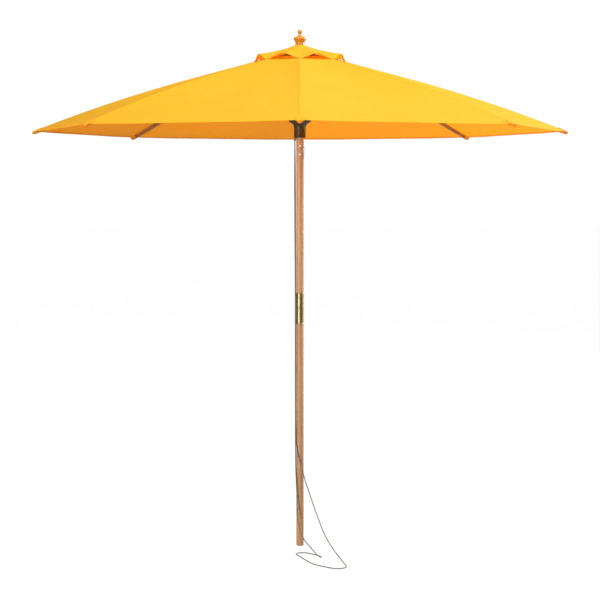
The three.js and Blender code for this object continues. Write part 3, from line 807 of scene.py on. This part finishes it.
def folds(i, side, r, lateral, place):
    """Height of the cloth's slack waves and puckers, and of the gathers beside the rib's seam."""
    slack = smooth(lateral, 0.012, 0.12) * smooth(hem_distance(r), 0.0, 0.08)
    wave = noise.noise(Vector((place[0] * 2.3, place[1] * 2.3, 4.0)))
    pucker = noise.noise(Vector((math.atan2(place[1], place[0]) * 16, r * 1.8, 9.0)))
    gather = math.sin(2 * math.pi * r / 0.021 + 3 * noise.noise(Vector((r * 9, i, side))))
    beside_seam = smooth(lateral, 0.0076, 0.012) * (1 - smooth(lateral, 0.012, 0.05))
    return slack * (0.0022 * wave + 0.0016 * pucker) + 0.00035 * gather * beside_seam


def panel_point(i, side, r, lateral):
    """A point of the stretched cloth in rib i's own frame, at a distance from the rib's middle."""
    u = lateral / (r * SIN)                                    # 0 over the rib, 1 at the panel's middle
    w = 2 * u - u * u
    x, y = r * (1 - u) + r * COS * COS * u, r * COS * SIN * u
    z = cloth_z(r) * (1 - w) + middle_z(r) * w
    edge = smooth(r, 1.15, CANOPY_R)                           # the hem draws in and up between the ribs
    x -= 0.006 * w * edge * COS
    y -= 0.006 * w * edge * SIN
    z += 0.0015 * w * edge - droop(r, lateral)
    z += SEAM_RISE * (1 - smooth(lateral, 0.0064, 0.0076))
    z += HEM_RISE * (smooth(r, 1.3295, 1.3312) + 1 - smooth(r, 0.178, 0.1795))
    place = in_sector([(x, side * y, z)], i)[0]
    return x, side * y, z + folds(i, side, r, lateral, place)


def grid(rows, columns, side):
    """Faces of rows of points, which look up on either side of a rib."""
    faces = []
    for row in range(rows - 1):
        for column in range(columns - 1):
            at = row * columns + column
            face = [at, at + columns, at + columns + 1, at + 1]
            faces.append(face if side > 0 else face[::-1])
    return faces


def cut_canvas(name, points, faces, cloth, grain):
    """A piece of canvas, with the distances that its material reads."""
    piece = to_object(name, points, faces, CANVAS, grain, math.radians(60))
    add_vectors(piece.data, "cloth", cloth)
    return piece


def half_panel(i, side, name):
    """Half a panel of canvas, from over rib i to the panel's middle, with its hems turned under."""
    points, cloth = [], []
    for r, under in PANEL_ROWS:
        for lateral in [*NEAR, *[NEAR[-1] + (r * SIN - NEAR[-1]) * f for f in FAR]]:
            x, y, z = panel_point(i, side, r, lateral)
            points.append((x, y, z + under))
            cloth.append((lateral, r, hem_distance(r)))
    faces = grid(len(PANEL_ROWS), len(NEAR) + len(FAR), side)
    grain = [(r, lateral, 0.31 * i + 0.07 * side) for lateral, r, _ in cloth]
    return cut_canvas(f"panel_{name}_{i}", in_sector(points, i), faces, cloth, grain)


for i in range(1, RIBS + 1):
    for side, name in SIDES:
        panel = half_panel(i, side, name)
        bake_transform(panel)
        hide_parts(f"canopy_{name}_{i}")

# The pockets of canvas at the corners, which hold the ribs' ends. Each is two halves, sewn along the rib.
POCKET_MOUTH, POCKET_TIP = 1.310, 1.3575
POCKET_OVER, POCKET_UNDER, POCKET_DEPTH = 0.0205, 0.0110, 0.0195   # half its width over and under the rib
POCKET_STEPS, POCKET_AROUND = 16, 21


def pocket_point(i, side, r, k):
    """Point k of a pocket's section, from the middle of its top round to the middle of its bottom."""
    t = (r - POCKET_MOUTH) / (POCKET_TIP - POCKET_MOUTH)
    narrowing = math.sqrt(max(0.0, 1 - max(0.0, (t - 0.45) / 0.55) ** 2))
    over, under = POCKET_OVER * (0.3 + 0.7 * narrowing), POCKET_UNDER * (0.4 + 0.6 * narrowing)
    depth = (POCKET_DEPTH - 0.0045 * t) * (0.45 + 0.55 * narrowing)
    middle = cloth_z(min(r, CANOPY_R)) - droop(r, 0) - 0.003 * (1 - narrowing)
    a = math.pi * k / (POCKET_AROUND - 1) - math.pi / 2        # -90 degrees is the top, 90 the bottom
    across = math.cos(a) ** 0.6 if 0 < k < POCKET_AROUND - 1 else 0.0
    if a <= 0:
        y, z = across * over, middle + 0.0026 * math.sin(-a)
    else:
        y = across * (under + (over - under) * (1 - math.sin(a)) ** 1.4)
        z = middle - depth * math.sin(a) ** 0.7
    crease = 0.0005 * noise.noise(Vector((r * 60, k * 0.9, i * 3.1 + side)))
    return r, side * y, z + crease * (1 - abs(math.sin(a)))


def pocket_half(i, side, name):
    """Half a pocket, from its open mouth to its closed tip."""
    points, cloth = [], []
    for step in range(POCKET_STEPS + 1):
        r = POCKET_MOUTH + (POCKET_TIP - POCKET_MOUTH) * math.sin(math.pi / 2 * step / POCKET_STEPS)
        points += [pocket_point(i, side, r, k) for k in range(POCKET_AROUND)]
        cloth += [(0.03, r, 0.004 + r - POCKET_MOUTH)] * POCKET_AROUND
    tip = list(range(POCKET_STEPS * POCKET_AROUND, len(points)))
    faces = grid(POCKET_STEPS + 1, POCKET_AROUND, side) + [tip if side > 0 else tip[::-1]]
    grain = [(r, y, 0.17 * i) for r, y, _ in points]
    return cut_canvas(f"tip_pocket_{name}_{i}", in_sector(points, i), faces, cloth, grain)


for i in range(1, RIBS + 1):
    for side, name in SIDES:
        pocket = pocket_half(i, side, name)
        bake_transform(pocket)

# ---- vent cap ----------------------------

CAP_INNER = 0.060                      # where the part that folds with the ribs begins
CAP_ARCHES = (0.025, 0.032, 0.022, 0.027, 0.026, 0.017, 0.031, 0.026)   # height of the arch after each rib
CAP_CORNER_Z = cloth_z(CAP_R) + 0.0019
CAP_SLOPE = (CAP_CORNER_Z - CAP_APEX_Z) / (CAP_R - CAP_APEX_R)
# Share of the way out to the cap's edge and height over the cloth, with a hem turned under.
CAP_ROWS = [*[(s, 0) for s in np.linspace(0, 0.93, 16)], (0.95, 0), (0.965, 0), (0.99, 0),
            (0.997, -0.0002), (1.0, -0.0007), (0.996, HEM_UNDER), (0.935, HEM_UNDER)]
CAP_SHARES = np.linspace(0, 0.5, 15)   # of the angle between two ribs


def cap_point(r_share, across, arch):
    """A point of the cap in a rib's own frame, and its distance from the pole. across is 0 over the
    rib, and 0.5 halfway to the next."""
    angle = SECTOR * across
    swell = 1 + 0.035 * math.sin(math.pi * across)
    edge_r = CAP_R * swell * COS / math.cos(SECTOR / 2 - angle)
    edge_z = CAP_CORNER_Z + arch * (0.5 - 0.5 * math.cos(2 * math.pi * across))
    r = CAP_INNER + (edge_r - CAP_INNER) * r_share
    t = (r - CAP_APEX_R) / (edge_r - CAP_APEX_R)
    low = CAP_APEX_Z + (CAP_CORNER_Z - CAP_APEX_Z) * t
    return r * math.cos(angle), r * math.sin(angle), low + (edge_z - CAP_CORNER_Z) * t ** 1.7, r


def cap_half(i, side, name):
    """Half a panel of the cap, from over rib i to halfway to the next rib on that side."""
    gap = i if side > 0 else (i - 2) % RIBS + 1                # the gap between ribs that it reaches into
    points, cloth = [], []
    for s, under in CAP_ROWS:
        for across in CAP_SHARES:
            x, y, z, r = cap_point(s, across, CAP_ARCHES[gap - 1])
            z += SEAM_RISE * (1 - smooth(y, 0.0055, 0.0075))
            points.append((x, side * y, z + under))
            cloth.append((y, r, (1 - s) * (CAP_R - CAP_INNER)))
    faces = grid(len(CAP_ROWS), len(CAP_SHARES), side)
    grain = [(r, lateral, 0.23 * i + 0.05 * side) for lateral, r, _ in cloth]
    return cut_canvas(f"cap_{name}_{i}", in_sector(points, i), faces, cloth, grain)


for i in range(1, RIBS + 1):
    for side, name in SIDES:
        half = cap_half(i, side, name)
        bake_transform(half)
        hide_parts("vent_cap")


def crown_cloth(name, profile):
    """A round cone of canvas on the mast, from (radius, height) rows."""
    segments = 96
    points, faces = [], []
    for r, z in profile:
        turns = [2 * math.pi * k / segments for k in range(segments)]
        points += [(r * math.cos(a), r * math.sin(a), z) for a in turns]
    for row in range(len(profile) - 1):
        for k in range(segments):
            a, c = row * segments + k, row * segments + (k + 1) % segments
            faces.append([a, a + segments, c + segments, c])
    cloth = [(0.03, r, 0.05) for r, _ in profile for _ in range(segments)]
    cone = cut_canvas(name, points, faces, cloth, [(z, x, y) for x, y, z in points])
    return finished(cone, "mast", "canopy_canvas", "vent_cap")


def cap_cone_z(r):
    """Height of the cap's cone near the pole, where it is still round."""
    return CAP_APEX_Z + CAP_SLOPE * (r - CAP_APEX_R)


# The cap's crown stays on the mast: a disc over the part that folds, and a lining under it.
CROWN_R = 0.0668
crown_rows = [(0.0048, CAP_APEX_Z + 0.0006), (0.023, CAP_APEX_Z + 0.0006),
              *[(r, cap_cone_z(r) + 0.0008) for r in (0.027, 0.04, 0.055, 0.066)],
              (CROWN_R, cap_cone_z(CROWN_R) - 0.0001)]
disc = crown_cloth("cap_crown", crown_rows)
lining_rows = [(CAP_INNER + out, cap_cone_z(CAP_INNER) - 0.0012 - down)
               for out, down in ((0, 0), (0.006, 0.0035), (0.012, 0.010), (0.017, 0.017), (0.021, 0.024))]
skirt = crown_cloth("cap_lining", lining_rows)

# ---- stage and light ---------------------

# The floor is pale to the eye, and bounces less light onto the object than it shows.
FLOOR_SIZE, FLOOR_Z, FLOOR_GLOW = 60.0, -0.0005, 0.98
floor = Nodes("floor")
tone = floor.noise(0.6, 2, 0.5, floor.add("TexCoord").outputs["Object"])
shade = floor.ramp(tone, (0.3, (0.05, 0.05, 0.05, 1)), (0.7, (0.06, 0.06, 0.06, 1)))
seen = floor.shader(Base_Color=shade, Roughness=0.9, Specular_IOR_Level=0.1,
                    Emission_Color=(1, 1, 1, 1), Emission_Strength=FLOOR_GLOW)
bounced = floor.shader(Base_Color=(0.36, 0.36, 0.36, 1), Roughness=0.9, Specular_IOR_Level=0.1)
by_camera = floor.add("LightPath").outputs["Is Camera Ray"]
floor_material = floor.done(floor.add("MixShader", {0: by_camera, 1: bounced, 2: seen}).outputs["Shader"])
corners = [(x * FLOOR_SIZE, y * FLOOR_SIZE, FLOOR_Z) for x, y in ((-1, -1), (1, -1), (1, 1), (-1, 1))]
ground = to_object("floor", corners, [[0, 1, 2, 3]], floor_material)

# The backdrop is white to the eye, and lights the object less than it shows.
WORLD_LIGHT, WORLD_SEEN = 0.12, 1.02
world = bpy.data.worlds.new("studio")
world.use_nodes = True
tree = world.node_tree
background = tree.nodes["Background"]
background.inputs["Color"].default_value = (1, 1, 1, 1)
strength = tree.nodes.new("ShaderNodeMapRange")
strength.inputs["To Min"].default_value = WORLD_LIGHT
strength.inputs["To Max"].default_value = WORLD_SEEN
tree.links.new(tree.nodes.new("ShaderNodeLightPath").outputs["Is Camera Ray"], strength.inputs["Value"])
tree.links.new(strength.outputs["Result"], background.inputs["Strength"])
bpy.context.scene.world = world


def softbox(name, place, aim, size, power, colour=(1, 1, 1)):
    """A rectangular light, wide and high as size says."""
    light = bpy.data.lights.new(name, "AREA")
    light.shape, light.energy, light.color = "RECTANGLE", power, colour
    light.size, light.size_y = size
    lamp = bpy.data.objects.new(name, light)
    lamp.location = place
    lamp.rotation_euler = (Vector(aim) - Vector(place)).to_track_quat("-Z", "Y").to_euler()
    bpy.context.scene.collection.objects.link(lamp)


softbox("top", (0.9, -1.5, 6.4), (0, 0, 2.3), (4.5, 4.5), 405, (1.0, 0.93, 0.60))
softbox("key", (6.6, 3.2, 4.1), (0, 0, 2.3), (2.4, 3.0), 800, (0.84, 0.92, 1.0))
softbox("edge", (6.5, 2.8, 1.3), (0, 0, 1.2), (0.9, 2.4), 60)
softbox("front", (-4.6, -6.6, 2.4), (0, 0, 1.4), (2.2, 4.6), 430)
